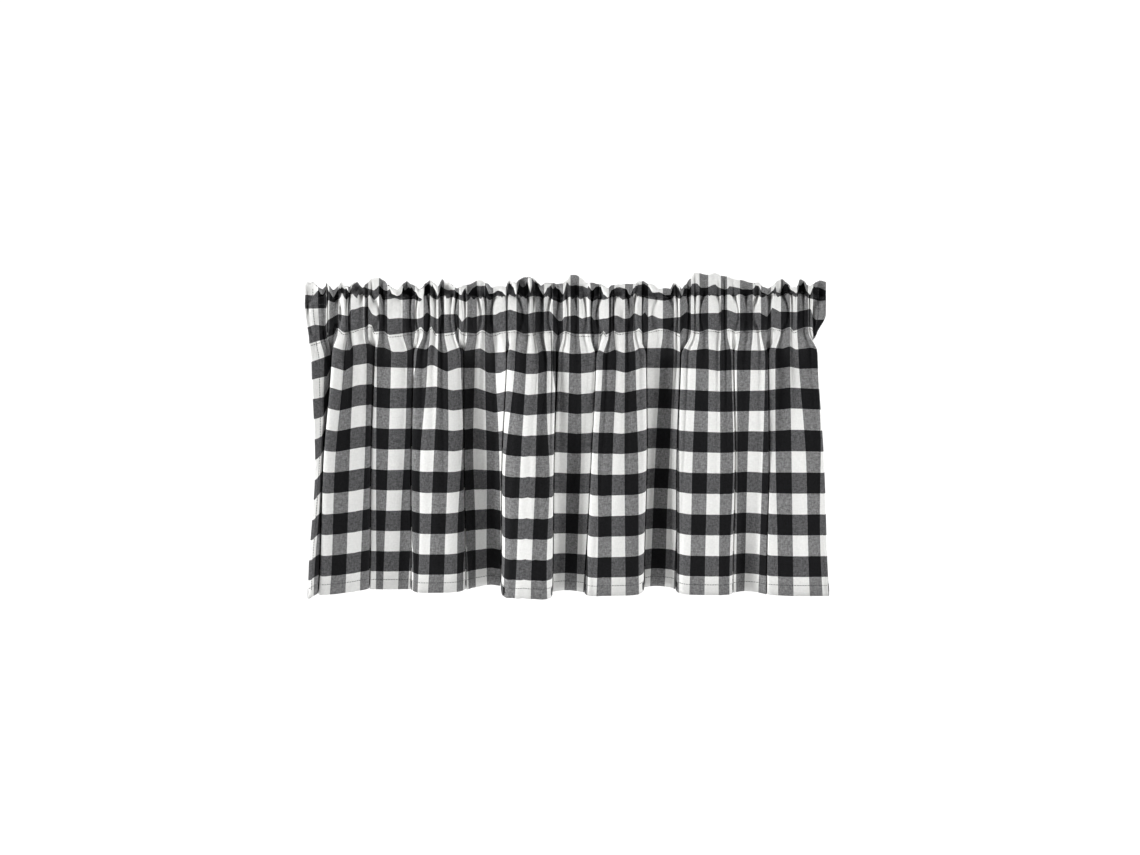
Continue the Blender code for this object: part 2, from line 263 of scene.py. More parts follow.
def hung_level(level):
    """The cloth's plan at one level: stripe number, pixel and forward reach of each column.

    A panel is a parabola through its three depths, rounded off at both edges. A pleat's two
    walls run back from the mouth and meet in a loop: with t from 1 at the mouth to 0 at the
    loop's end, its half width is MOUTH t / 2 + LOOP sqrt(t) (1 - t). The cloth hidden between
    two panels says how deep it goes.
    """
    u, px, d = [], [], []
    half_mouth = 0.5 * MOUTH / PIXEL
    depths = [panel_depth(panel, level) for panel in PANELS]
    steps = [-1.0] + [b[0] - a[2] for a, b in zip(depths, depths[1:])] + [0.0]
    for i, panel in enumerate(PANELS):
        stripe, pixel = edges(panel[level])
        d0, dm, d1 = panel_depth(panel, level)
        f = crowded(panel_columns[i])
        uu = stripe[0] + (stripe[-1] - stripe[0]) * f
        xx = np.interp(uu, stripe, pixel)
        xx = xx + half_mouth * ((1 - f) * (i > 0) - f)
        g = (xx - xx[0]) / (xx[-1] - xx[0])
        dd = d0 * (1 - g) * (1 - 2 * g) + dm * 4 * g * (1 - g) + d1 * g * (2 * g - 1)
        for side, step in ((xx - xx[0], steps[i]), (xx[-1] - xx, -steps[i + 1])):
            crest, curl = turn_back(step, level)
            near = np.clip(1.0 - side * PIXEL / crest, 0.0, 1.0)
            dd = dd - curl * (1.0 - np.sqrt(1.0 - near ** 2))
        u.append(uu)
        px.append(xx)
        d.append(dd)
        if i + 1 == len(PANELS):
            break
        after, after_px = edges(PANELS[i + 1][level])
        e0, em, _ = panel_depth(PANELS[i + 1], level)
        hidden = (after[0] - uu[-1]) * STRIPE
        start, end = dd[-1], e0 - turn_back(steps[i + 1], level)[1]
        back = min(0.5 * (start + end - hidden) + LOOP_EASE * LOOP, min(start, end) - LEAST_LOOP)
        back = max(back, -DEEPEST_LOOP)
        lean = np.clip(LOOP_LEAN * ((d1 - dm) + (em - e0)), -MOST_LEAN, MOST_LEAN)
        s = np.linspace(-1.0, 1.0, PLEAT_COLUMNS + 2)[1:-1]
        t = np.abs(s) ** LOOP_CROWDING
        half = 0.5 * MOUTH * t + LOOP * np.sqrt(t) * (1 - t)
        middle = 0.5 * (xx[-1] + after_px[0] + half_mouth)
        u.append(uu[-1] + (after[0] - uu[-1]) * 0.5 * (1 + np.sign(s) * t))
        px.append(middle + (np.sign(s) * half + lean * (1 - t)) / PIXEL)
        d.append(back + (np.where(s < 0, start, end) - back) * t)
    tail = (STRIPES - u[-1][-1]) * STRIPE
    f = np.linspace(0.0, 1.0, TAIL_COLUMNS + 1)[1:]
    u.append(u[-1][-1] + (STRIPES - u[-1][-1]) * f)
    px.append(px[-1][-1] - TAIL_REACH[0] * tail / PIXEL * f * f)
    d.append(d[-1][-1] - TAIL_REACH[1] * tail * f)
    return np.concatenate(u), np.concatenate(px), np.concatenate(d)


def through(places, values, at):
    """Smooth curve through rows of values at rising places, read at other places.

    Between two places it is the cubic whose slopes are those of the chords beside each.
    """
    places, values = np.asarray(places, dtype=float), np.asarray(values, dtype=float)
    chord = np.diff(values, axis=0) / np.diff(places)[:, None]
    slope = np.concatenate((chord[:1], 0.5 * (chord[1:] + chord[:-1]), chord[-1:]))
    k = np.clip(np.searchsorted(places, at, side="right") - 1, 0, len(places) - 2)
    h = (places[k + 1] - places[k])[:, None]
    t = (at - places[k])[:, None] / h
    return ((1 + 2 * t) * (1 - t) ** 2 * values[k] + t * (1 - t) ** 2 * h * slope[k]
            + t * t * (3 - 2 * t) * values[k + 1] - t * t * (1 - t) * h * slope[k + 1])


panel_columns = [int(np.ptp(edges(p["top"])[1]) * PIXEL / PANEL_STEP) for p in PANELS]
top_plan, mid_plan, hem_plan = (hung_level(level) for level in ("top", "mid", "hem"))
on_panel = np.concatenate([np.repeat((1.0, 0.0), (n, PLEAT_COLUMNS)) for n in panel_columns])
on_panel = np.resize(on_panel, len(top_plan[0]))
u_rod = top_plan[0]
rod_pixels = np.array([x for row in ROD_EDGES for x in row], dtype=float)
px_rod = np.interp(u_rod, np.arange(STRIPES + 1), rod_pixels)

# The gathers on the rod. Ridges stand on the panels' edges and between them, one trough or
# two lie in each pleat, and each is as deep as the cloth it has to take up needs.
GATHERS_A_STRIPE = 1.0
GATHER_MOST = 4.6 * MM
GATHER_TRAVEL = 4.44          # a gather's cloth runs forward and back by so many times its depth
CUSP = 0.75                   # below 1, the ridges are round and the troughs are sharp creases
UNEVEN = ((0.16, 2.1, 1.0), (0.11, 3.7, 0.4))    # gathers they wander by, rate and start of a sine
GATHER_DEPTHS = (0.85, 0.25)  # their depth varies about the first share by the second
CREASE_BOW = 0.65             # between the rows of stitches a crease bows sideways by gathers

phase_u, phase_n, count = [], [], 0
for i, panel in enumerate(PANELS):
    first, last = panel["top"][0], panel["top"][-1]
    waves = max(1, round((last - first) * GATHERS_A_STRIPE))
    following = PANELS[i + 1]["top"][0] if i + 1 < len(PANELS) else STRIPES
    phase_u += [first, last]
    phase_n += [count, count + waves]
    count += waves + max(1, round((following - last) * GATHERS_A_STRIPE))
phase = np.interp(u_rod, phase_u + [STRIPES], phase_n + [count])
uneven = sum(by * np.sin(rate * u_rod + start) for by, rate, start in UNEVEN)
phase = phase + uneven * np.sin(np.pi * phase) ** 2


def gathered(turns):
    """Height of a gather from 1 on its ridge to -1 in its crease: 2 |cos(pi turns)|^CUSP - 1."""
    return 2 * np.abs(np.cos(np.pi * turns)) ** CUSP - 1


ridge = gathered(phase)
width = np.interp(u_rod, np.arange(STRIPES) + 0.5, np.diff(rod_pixels)) * PIXEL
spare = np.sqrt(np.maximum(STRIPE ** 2 - width ** 2, 0.0))
gather = np.minimum(spare / (GATHER_TRAVEL * GATHERS_A_STRIPE), GATHER_MOST)
varied = np.sin(1.3 * u_rod + 2.0) * np.sin(0.47 * u_rod)
gather = gather * (GATHER_DEPTHS[0] + GATHER_DEPTHS[1] * varied)
crease_bow = CREASE_BOW * np.sin(1.9 * u_rod + 0.3) * np.sin(0.77 * u_rod + 1.1)

ROD_SAG = (5.0 * MM, 262.0)   # the pocket hangs by so much in the middle, over so many pixels
LEFT_DROOP = (12.0 * MM, 330.0, 25.0)    # sinks by, from this pixel on, over these pixels
RIGHT_DROOP = (5.0 * MM, 808.0, 18.0)
DROOP_TAKEN_UP = 0.85                    # share of the droop that is gone again at the hem
droop = (LEFT_DROOP[0] * smooth((LEFT_DROOP[1] - px_rod) / LEFT_DROOP[2])
         + RIGHT_DROOP[0] * smooth((px_rod - RIGHT_DROOP[1]) / RIGHT_DROOP[2]))
high = -ROD_SAG[0] * (1.0 - ((px_rod - PHOTO_MIDDLE) / ROD_SAG[1]) ** 2) - droop

# The pocket in side view, from the upper to the lower row of stitches: bands from the lower
# stitches, forward reach and height in mm, and the share of the gathers' depth.
POCKET_FRONT = ((-2.15, 0.5, 0.0, 0.75), (-2.05, 3.5, 1.6, 1.05), (-1.85, 8.5, -1.0, 1.0),
                (-1.5, 13.0, -8.0, 0.85), (-1.0, 15.0, -19.0, 0.75), (-0.5, 12.5, -30.5, 0.85),
                (-0.15, 8.0, -38.0, 1.0), (0.0, 5.0, -40.5, 0.8))
POCKET_BACK = ((-2.15, -0.5, 0.0, 0.75), (-1.85, -8.0, -1.5, 0.9), (-1.5, -12.0, -8.0, 0.75),
               (-1.0, -13.5, -18.0, 0.7), (-0.5, -9.0, -30.0, 0.8), (-0.15, -0.5, -37.5, 0.9),
               (0.0, 3.5, -40.5, 0.8))
PUFF = 3.5 * MM               # a gather's ridge stands up by this much
PUFF_BELOW = 0.2              # so many bands below the upper stitches,
PUFF_WIDTH = 0.3              # and fades over so many


def pocket_wall(section, v):
    """Forward reach and height of a pocket wall at bands v: its section, gathered."""
    section = np.array(section)
    reach, height, share = through(section[:, 0], section[:, 1:], v).T[:, :, None]
    swell = PUFF * np.exp(-((v[:, None] - UPPER_STITCH_V - PUFF_BELOW) / PUFF_WIDTH) ** 2)
    bowed = gathered(phase + crease_bow * np.sin(np.pi * v / UPPER_STITCH_V)[:, None])
    return (reach * MM + share * gather * bowed,
            height * MM + high + swell * np.clip(bowed, 0.0, 1.0))


# Both ends of the pocket lean inwards towards the lower stitches: pixel from which the end
# begins, pixels over which it does, pixels by which it leans, and the band where it starts.
ENDS = ((326.0, -20.0, 4.0, -2.0), (812.0, 14.0, -9.0, -1.2))


def leaning(v):
    """Pixels across of the pocket's columns at bands v."""
    lean = sum(by * smooth((px_rod - begin) / over) * smooth((v[:, None] - top) / -top)
               for begin, over, by, top in ENDS)
    return px_rod + lean


# The ruffled heading. Its top edge waves between lobes that lean back and lobes that flop
# forward and down, so that the back of the cloth shows over them. At each in turn: pixels
# across, the photo's rows of the outline and of the folded edge, and forward reach in mm.
LOBES = (
    (305, 284, 284, -4), (308, 281, 281, -6), (311, 283.5, 283.5, -4), (313.5, 282, 282, -6),
    (318, 287, 289, 3), (322, 290.5, 296, 9), (325, 288, 292, 4), (326.5, 283, 283, -8),
    (329, 287, 292, 6), (333.5, 291, 298, 12), (337, 288.5, 292, 6), (341, 282, 282, -8),
    (345, 286, 287, 0), (349.5, 288, 293, 8), (353, 282, 282, -6), (356, 281, 281, -8),
    (363, 288.5, 288.5, 4), (366, 284, 284, 0), (371, 279, 279, -6), (378, 277.5, 277.5, -8),
    (384, 280.5, 280.5, -6), (388, 285, 286, 2), (392, 288.5, 294, 9), (397, 291, 296.5, 13),
    (401, 287, 295, 8), (404, 283, 284, -3), (407, 281, 281, -8), (410, 284, 285, 0),
    (415, 287, 292, 8), (419.5, 290, 298, 13), (423, 288, 300, 14), (425, 283.5, 284, -4),
    (431, 280, 280, -7), (434, 284, 288, 3), (438, 288, 297, 11), (442, 279, 279, -8),
    (446, 283.5, 283.5, -2), (448, 281.5, 281.5, -5), (452, 286, 287, 3), (457, 289.5, 292.5, 9),
    (461, 288, 295.5, 12), (464, 286, 290, 5), (467, 285, 285, 0), (480, 280, 280, -7),
    (486, 283, 284, -2), (488, 285, 294, 8), (492, 289, 294, 11), (498, 287, 291, 7),
    (502, 287.5, 292, 8), (506, 288, 296.5, 12), (509, 280, 280, -7), (513, 283, 287, 3),
    (516, 284, 295.5, 11), (520, 279, 280, -5), (525, 277, 277, -8), (528, 278, 284, 2),
    (530, 278, 294, 9), (533, 278, 280, -7), (537, 282, 284, -4), (541, 287, 292, 9),
    (544, 285, 296, 12), (547, 283, 288, 2), (553, 283, 284, -2), (558, 285, 289, 4),
    (563, 284.5, 294.5, 10), (567, 280.5, 283, -3), (570, 275, 275, -8), (576, 275, 275, -8),
    (581, 278, 278, -5), (587, 283, 284, 0), (592, 284, 291, 7), (596, 284, 287, 2),
    (600, 284.5, 286, 0), (604, 287, 295, 9), (608, 289, 298, 12), (612, 286, 290, 4),
    (618, 285, 287, 2), (626, 285, 289, 5), (630, 285, 296, 11), (634, 285, 288, 4),
    (638, 281.5, 282, -5), (643, 281, 281, -8), (648, 284, 286, 0), (653, 286, 293, 7),
    (660, 290.5, 292.5, 11), (665, 289, 295.5, 11), (671, 290, 295, 11), (674, 282, 282, -8),
    (678, 285.5, 287, 0), (682, 290, 296.5, 12), (685, 285, 286, -2), (690, 279, 279, -6),
    (695, 272.5, 272.5, -9), (708, 275, 275, -8), (715, 273, 273, -9), (722, 276, 276, -7),
    (740, 280, 280, -5), (752, 283, 284, -1), (758, 283, 286, 2), (763, 288, 293, 9),
    (768, 289.5, 295, 13), (773, 287, 291, 7), (777, 281, 282, -4), (782, 279, 279, -8),
    (787, 283, 285, -2), (792, 289, 291, 8), (797, 288, 294, 11), (800, 279, 279, -8),
    (804, 281, 284, -3), (807, 286, 292, 7), (810, 287, 295, 11), (813, 285, 288, 4),
    (816, 282, 282, -4), (820, 280.5, 280.5, -7), (827, 282, 282, -7), (829, 286, 286, -4))
ZERO_LINE = photo_row(0.0, 0.0)          # of the upper stitches, where the rod doesn't sag
HEADING_GATHER = 0.75         # share of the gathers' depth at the stitches
BEND_REACH = 0.25             # the bend stands forward by this share of the edge's reach
BEND_GATHER = 0.4             # and has this share of the gathers' depth
LEAST_RISE = 3.0 * MM         # the outline stands at least this far above the stitches

lobe_at = np.interp(px_rod, [lobe[0] for lobe in LOBES], np.arange(len(LOBES)))
lobe_at = np.floor(lobe_at) + smooth(lobe_at % 1.0)
outline_y, edge_y, edge_reach = (
    np.interp(lobe_at, np.arange(len(LOBES)), column) for column in np.array(LOBES).T[1:])
edge_reach = edge_reach * MM


def heading(s, stitch_reach):
    """Forward reach and height of the heading, with s from 0 at the stitches to 1 at the edge.

    It is the curve (1-s)^2 P0 + 2s(1-s) P1 + s^2 P2 from the stitches P0 to the folded edge P2.
    Seen from the camera it reaches highest at a where P1 stands at a + sqrt(a (a - e)), with e
    the edge's height there, all measured from the stitches.
    """
    s = s[:, None]
    start = stitch_reach + HEADING_GATHER * gather * ridge
    bend_reach = BEND_REACH * edge_reach + BEND_GATHER * gather * ridge
    foot = high * np.cos(LOOK_DOWN) - start * np.sin(LOOK_DOWN)
    edge = (ZERO_LINE - edge_y) * PIXEL - foot
    most = np.maximum((ZERO_LINE - outline_y) * PIXEL - foot, np.maximum(edge, LEAST_RISE))
    bend = most + np.sqrt(most * (most - edge))
    bend_z, edge_z = ((seen + foot + np.sin(LOOK_DOWN) * reach) / np.cos(LOOK_DOWN)
                      for seen, reach in ((bend, bend_reach), (edge, edge_reach)))
    return tuple((1 - s) ** 2 * a + 2 * s * (1 - s) * b + s * s * c
                 for a, b, c in ((start, bend_reach, edge_reach), (high, bend_z, edge_z)))


# The body below the pocket, row by row down to the hem. Cloth that runs sideways or forward
# hangs less far down: a row's drop squared is its length along the cloth squared less its shift
# squared. Each panel also gives by some mm, gained between two bands, which brings its bands to
# where the photo shows them.
BODY_ROWS = 49
GIVE = (2.5, 1, 5, 1, 7, 0, 2, 0, 5, 0, 0, 3.5)
GIVE_V = (3.0, 8.0)
HEM_TURN_V = 12.1             # from here on the doubled hem tilts back
HEM_TILT = 5.0 * MM           # by this much at its edge
HEM_REACH = 0.5               # the plans run on by so many bands past the hem
LEAST_DROP = 0.9              # least share of its length by which the cloth drops
RIPPLE = (0.22, 0.5, 4.0)     # share of the gathers' depth far down, more at the top, and fade

v_body = np.linspace(0.0, HEM_V, BODY_ROWS)
below = (HEM_V + HEM_REACH - LEVEL_V[2]) / (LEVEL_V[2] - LEVEL_V[0])
u_body, px_body, d_body = (
    through((0.0, *LEVEL_V, HEM_V + HEM_REACH), (a, a, b, c, c + below * (c - a)), v_body)
    for a, b, c in zip(top_plan, mid_plan, hem_plan))
fall = v_body[:, None]
px_foot = leaning(np.zeros(1))
px_body = px_foot + (px_body - px_foot) * smooth(fall / MOUTH_V)
deepen = smooth(fall / PLEAT_V)
rod_reach = POCKET_FRONT[-1][1] * MM + POCKET_FRONT[-1][3] * gather * ridge
ripple = (ridge - 1.0) * gather * on_panel * (RIPPLE[0] + RIPPLE[1] * np.exp(-fall / RIPPLE[2]))
reach_body = rod_reach + (d_body - PLEAT_PLANE + ripple - rod_reach) * deepen
reach_body = reach_body - HEM_TILT * np.clip((fall - HEM_TURN_V) / (HEM_V - HEM_TURN_V), 0, 1) ** 2
x_body = across(px_body, reach_body, POCKET_FRONT[-1][2] * MM - CHECK * fall)
run = np.diff(v_body)[:, None] * CHECK
shift = np.hypot(np.diff(x_body, axis=0), np.diff(reach_body, axis=0))
drop = np.sqrt(np.maximum(run ** 2 - shift ** 2, (LEAST_DROP * run) ** 2))
drop = drop - DROOP_TAKEN_UP * droop * run / (CHECK * HEM_V)
z_body = (POCKET_FRONT[-1][2] * MM + high) - np.cumsum(drop, axis=0)
z_body = np.vstack((POCKET_FRONT[-1][2] * MM + high, z_body))
middles = [0.5 * (panel["top"][0] + panel["top"][-1]) for panel in PANELS]
give = np.interp(u_rod, middles, np.array(GIVE) * MM)
z_body = z_body - give * smooth((fall - GIVE_V[0]) / (GIVE_V[1] - GIVE_V[0]))

# The whole cut length as one sheet, from the facing's free end under the lower stitches, up the
# back of the pocket, over the heading's top edge, down the front to the hem and round it.
HEADING_ROWS = 8
BACK_HEADING_ROWS = 5
POCKET_ROWS = 17
BACK_ROWS = 12
HEM_ROWS = 3                  # rows of the body that the hem's turn-up lies behind
LAYER_GAP = 1.1 * MM          # from the face of the cloth to the back of a layer behind it
CLOTH_THICKNESS = 0.5 * MM

strips = []


def strip(u, px, reach, z, pattern_v):
    """Rows of the sheet: stripe u, pixel, forward reach, height, and band v on the pattern."""
    shape = z.shape
    strips.append(tuple(np.broadcast_to(a, shape) for a in (pattern_v[:, None], u, px, reach, z)))


v_back = np.linspace(0.0, UPPER_STITCH_V, BACK_ROWS)
reach_back, z_back = pocket_wall(POCKET_BACK, v_back)
s_back = np.linspace(0.0, 1.0, BACK_HEADING_ROWS + 1)[1:]
reach_lean, z_lean = heading(s_back, POCKET_BACK[0][1] * MM)
rise_way = np.stack((np.gradient(reach_lean, axis=0), np.gradient(z_lean, axis=0)))
rise_way = rise_way / np.maximum(np.hypot(*rise_way), 1e-9)
gap = LAYER_GAP * smooth(2 * s_back)[:, None]
s_heading = np.linspace(1.0, 0.0, HEADING_ROWS, endpoint=False)
reach_heading, z_heading = heading(s_heading, POCKET_FRONT[0][1] * MM)
v_pocket = np.linspace(UPPER_STITCH_V, 0.0, POCKET_ROWS, endpoint=False)
reach_pocket, z_pocket = pocket_wall(POCKET_FRONT, v_pocket)
heading_height = TOP_EDGE_V - UPPER_STITCH_V
turned = slice(None, -HEM_ROWS - 1, -1)

strip(u_rod, px_body[1:2], reach_body[1:2] - 1.5 * LAYER_GAP, z_body[1:2],
      2 * TOP_EDGE_V - v_body[1:2])
strip(u_rod, leaning(v_back), reach_back, z_back, 2 * TOP_EDGE_V - v_back)
strip(u_rod, px_rod, reach_lean - gap * rise_way[1], z_lean + gap * rise_way[0],
      2 * TOP_EDGE_V - UPPER_STITCH_V - heading_height * s_back)
strip(u_rod, px_rod, reach_heading, z_heading,
      UPPER_STITCH_V + heading_height * s_heading)
strip(u_rod, leaning(v_pocket), reach_pocket, z_pocket, v_pocket)
strip(u_body, px_body, reach_body, z_body, v_body)
strip(u_body[turned], px_body[turned], reach_body[turned] - LAYER_GAP, z_body[turned],
      2 * HEM_V - v_body[turned])
v_cloth, u_cloth, px_cloth, reach_cloth, z_cloth = (np.concatenate(part) for part in zip(*strips))

# The gathers and the rows of stitches wander over the woven bands. For each edge between two
# bands near the rod: pixels across and down at which the photo shows it, one after the other.
BAND_EDGES = {
    -3: (306, 295, 318, 296, 325, 298, 334, 299, 342, 287, 348, 293.5, 356, 281, 366, 288,
         374, 291, 379, 286, 384, 290, 390, 294.5, 401, 297, 408, 287, 413, 293, 418, 299,
         422, 293, 425, 287, 429, 283, 433, 290, 438, 298, 441, 288, 457, 293, 461, 296, 464, 292,
         468, 295, 472, 289, 476, 286, 486, 286.5, 488, 295, 497, 292, 502, 292.5, 506, 297,
         509, 283, 512, 288, 516, 297, 520, 288, 528, 288, 530, 295.5, 533, 288, 535, 282,
         541, 293, 544, 297, 550, 290, 558, 291, 563, 296, 566, 288, 570, 286, 582, 286,
         591, 293, 600, 288, 604, 296, 608, 299, 610, 294, 620, 292, 630, 297, 638, 285,
         645, 284, 650, 291, 655, 294, 660, 292, 665, 296, 670, 296, 673, 288, 675, 284, 679, 290,
         682, 297, 684, 289, 690, 289.5, 692, 284, 697, 284.5, 702, 289, 715, 285.5, 725, 291,
         730, 287, 740, 289, 754, 292, 758, 289, 762, 294, 766, 296, 770, 293, 780, 295,
         783, 287, 786, 284.5, 797, 294, 799, 286, 802, 287, 806, 293, 810, 295, 814, 288,
         818, 287, 826, 291),
    -2: (306, 308.5, 326, 308.5, 328, 300, 334, 303, 340, 298, 342, 294, 346, 300, 352, 294,
         357, 299, 362, 294, 366, 299, 370, 295, 374, 300, 380, 295, 383, 300, 396, 298, 400, 300,
         414, 299, 420, 302, 424, 297, 428, 293, 432, 298, 438, 300, 442, 294, 447, 299, 452, 297,
         460, 300, 466, 302, 471, 297, 474, 300, 478, 297, 481, 300, 483, 296, 490, 301, 497, 295,
         502, 298, 510, 294, 514, 298, 517, 293, 525, 299, 534, 295, 544, 300, 547, 295, 551, 299,
         561, 303, 570, 297, 573, 300, 576, 296.5, 581, 300, 585, 295.5, 592, 302, 597, 299,
         604, 300, 617, 295.5, 622, 300, 631, 298, 635, 292.5, 638, 297, 650, 299, 666, 301,
         675, 297, 680, 299, 689, 293, 696, 296, 705, 293.5, 710, 297, 722, 292, 727, 293,
         732, 297, 738, 295, 752, 294, 755, 297, 758, 295.5, 762, 298, 773, 293, 778, 297,
         785, 292.5, 789, 294, 797, 298, 800, 291, 804, 295, 808, 298, 820, 301, 826, 300),
    -1: (308, 327, 314, 324.5, 325, 326, 328, 320, 333, 317, 338, 314, 349, 316, 350, 310,
         364, 306, 368, 306, 372, 314, 376, 316, 380, 314, 386, 315, 388, 319, 400, 318, 416, 319,
         422, 318, 427, 312, 431, 316, 438, 319, 441, 314.5, 457, 314, 462, 322, 467, 316.5,
         472, 317.5, 482, 315, 496, 314.5, 500, 312, 510, 309.5, 521, 313, 527, 314, 537, 311.5,
         550, 311, 553, 314, 556, 318, 559, 321, 562, 321, 564, 317, 575, 315, 582, 318.5,
         591, 316, 594, 320, 608, 318, 616, 315, 624, 319, 630, 318, 634, 313, 641, 316, 645, 312,
         648, 317, 652, 315, 660, 319, 680, 317, 687, 312, 692, 314, 704, 313, 720, 313,
         722, 309.5, 727, 309.5, 736, 313, 760, 312.5, 767, 317, 770, 313, 772, 307.5, 780, 311.5,
         796, 312, 811, 308.5, 813, 317, 816, 320, 824, 319.5),
    0: (310, 343.5, 318, 341, 326, 338, 335, 334, 337, 327, 344, 333, 352, 331, 366, 327,
        369, 324, 372, 325, 374, 332, 384, 331, 388, 335, 398, 334, 415, 331.5, 421, 326,
        424, 331, 428, 332.5, 431, 325, 435, 334, 446, 333.5, 455, 332, 458, 327, 461, 332,
        476, 333.5, 482, 329.5, 490, 334, 500, 332, 515, 330, 524, 334, 540, 332, 552, 330.5,
        558, 336, 561, 333, 565, 331, 575, 334, 592, 334, 601, 334, 604, 330, 606, 335,
        614, 330.5, 618, 333, 635, 331, 639, 328, 643, 333, 660, 328, 668, 329.5, 680, 334,
        683, 328, 694, 331, 700, 332, 708, 329, 720, 331, 729, 328.5, 735, 331, 767, 330,
        772, 327, 782, 330, 790, 326.5, 793, 331, 805, 327, 812, 327, 815, 337, 824, 330),
    1: (311, 362, 319, 359, 331, 354.5, 333, 347, 343, 350, 350, 350, 353, 345.5, 360, 344,
        371, 343, 374, 346.5, 385, 347.5, 393, 352, 403, 352, 415, 347.5, 427, 349.5, 429, 345,
        433, 345, 440, 352, 445, 353, 450, 350.5, 461, 347, 465, 351, 480, 348, 488, 353,
        505, 352, 509, 349.5, 524, 353.5, 538, 353.5, 541, 351, 556, 351, 572, 354, 590, 353,
        599, 350, 606, 353.5, 615, 349.5, 624, 353, 635, 351, 640, 348, 672, 348, 680, 352,
        683, 348, 690, 350.5, 705, 348.5, 718, 351, 730, 349, 738, 350.5, 765, 350.5, 770, 347.5,
        783, 348.5, 790, 346, 796, 349.5, 812, 347.5, 815, 349),
    2: (312, 379.5, 328, 376, 331, 366.5, 345, 371, 353, 365.5, 368, 363.5, 377, 367, 412, 368,
        424, 369, 428, 365.5, 433, 365, 447, 372, 458, 368, 480, 368, 488, 373, 500, 373.5,
        507, 369.5, 526, 374, 536, 374, 548, 371, 580, 373.5, 594, 372, 597, 370, 614, 370,
        626, 373, 642, 368, 682, 368, 705, 369, 718, 371, 733, 370, 765, 370, 790, 367, 800, 369,
        816, 368.5),
    3: (314, 399, 325, 397, 329, 387, 341, 390.5, 352, 387, 358, 385, 372, 384, 375, 387,
        390, 388.5, 414, 388, 436, 386.5, 453, 390.5, 476, 388, 495, 394, 508, 391, 528, 395,
        538, 394, 560, 391.5, 577, 394.5, 593, 393, 595, 391, 614, 391, 622, 393, 645, 388.5,
        660, 388.5, 720, 391.5, 765, 390.5, 790, 387.5, 818, 389),
}
TRUE_V = (2 * TOP_EDGE_V - UPPER_STITCH_V, 8.0)      # beyond these the bands run true again
FLOPPED_V = -2.85             # the edge between the top two bands, where a lobe hides it
FLOP_PIXELS = 4.0             # a folded edge this far below the outline hides it fully
LEAST_BAND = 0.3              # the bands stay at least this far apart
HIGHEST_ROW = ZERO_LINE - 108.0          # above every row in which the heading can be seen


def where(values, target):
    """Row, column and share of the way to the next row where rising columns pass a target."""
    k = np.clip((values < target).sum(axis=0) - 1, 0, len(values) - 2)
    column = np.arange(values.shape[1])
    low, following = values[k, column], values[k + 1, column]
    return k, column, np.clip((target - low) / np.maximum(following - low, 1e-9), 0.0, 1.0)


face = slice(BACK_ROWS + BACK_HEADING_ROWS + 1, -HEM_ROWS)
v_face, px_face = v_cloth[face, 0], px_cloth[face]
seen_row = photo_row(reach_cloth, z_cloth)[face]
outermost = np.argmin(seen_row[:HEADING_ROWS], axis=0)
seen_row = np.where(np.arange(len(seen_row))[:, None] < outermost, -np.inf, seen_row)
seen_row = np.maximum.accumulate(np.maximum(seen_row, HIGHEST_ROW), axis=0)
knots, shifts = [], []
for edge_v, places in BAND_EDGES.items():
    edge_px, edge_row = np.reshape(places, (-1, 2)).T
    px_seen = through(v_face, px_face, np.array([float(edge_v)]))[0]
    k, _, part = where(seen_row, np.interp(px_seen, edge_px, edge_row))
    found = v_face[k] + part * (v_face[k + 1] - v_face[k])
    if knots:
        found = np.maximum(found, knots[-1] + LEAST_BAND)
    else:
        flopped = smooth((edge_y - outline_y) / FLOP_PIXELS)
        found = (1 - flopped) * found + flopped * FLOPPED_V
    knots.append(found)
    shifts.append(edge_v - found)
level_line = np.ones_like(px_rod)
knots = np.array([TRUE_V[0] * level_line, TOP_EDGE_V * level_line, *knots, TRUE_V[1] * level_line])
shifts = np.array([0 * level_line, shifts[0], *shifts, 0 * level_line])
pattern_v = v_cloth + sum(
    np.clip((v_cloth - a) / np.maximum(b - a, 1e-9), 0.0, 1.0) * (d - c)
    for a, b, c, d in zip(knots, knots[1:], shifts, shifts[1:]))

# Yarn-dyed plain-weave cotton. Where a white stripe crosses a white band the cloth is white,
# where two blacks cross it is black, and the mixed checks are two greys. Its threads are about
# 0.4 mm apart, too fine to show, so they are drawn 0.8 mm apart. Thick and thin places in the
# yarn give the greys faint streaks both ways, and the sewing puckers the cloth beside it.
THREAD = 0.8 * MM
SLUB = (1.9 * MM, 4.8 * MM)   # width and length of a thick place in the yarn, as it shows
SLUB_NOISE = (0.7, 1.3)       # the two noises' sum runs between these,
SLUB_CONTRAST = 0.4           # and changes the brightness of the greys by up to this share
WHITE_SLUBS = 0.12            # and of the whites by this share of it
WEAVE_DEPTH = 0.12 * MM
PUCKER = (6.5 * MM, 26.0 * MM)           # width and length of the puckers beside the stitches
PUCKER_DEPTH = 2.2 * MM
PUCKER_REACH = 0.75           # they fade over so many bands
LOWER_STITCH_V = 0.12         # the stitches lie just below the edge of a band
# Painted shade: the colour darkens towards the hem's edge, for less light through double cloth.
PAINTED_HEM_SHADE = (11.9, 13.0, 0.79)           # the hem is double, so less light comes through it


def node(tree, kind, links=(), **settings):
    """Add a node. A setting is a property, or the value of input n as in_n.

    A link joins (input, source), and its source is an output, or a node for its first output.
    """
    made = tree.nodes.new(kind)
    for name, value in settings.items():
        if name.startswith("in_"):
            made.inputs[int(name[3:])].default_value = value
        else:
            setattr(made, name, value)
    for socket, source in links:
        output = source if isinstance(source, bpy.types.NodeSocket) else source.outputs[0]
        tree.links.new(output, made.inputs[socket])
    return made


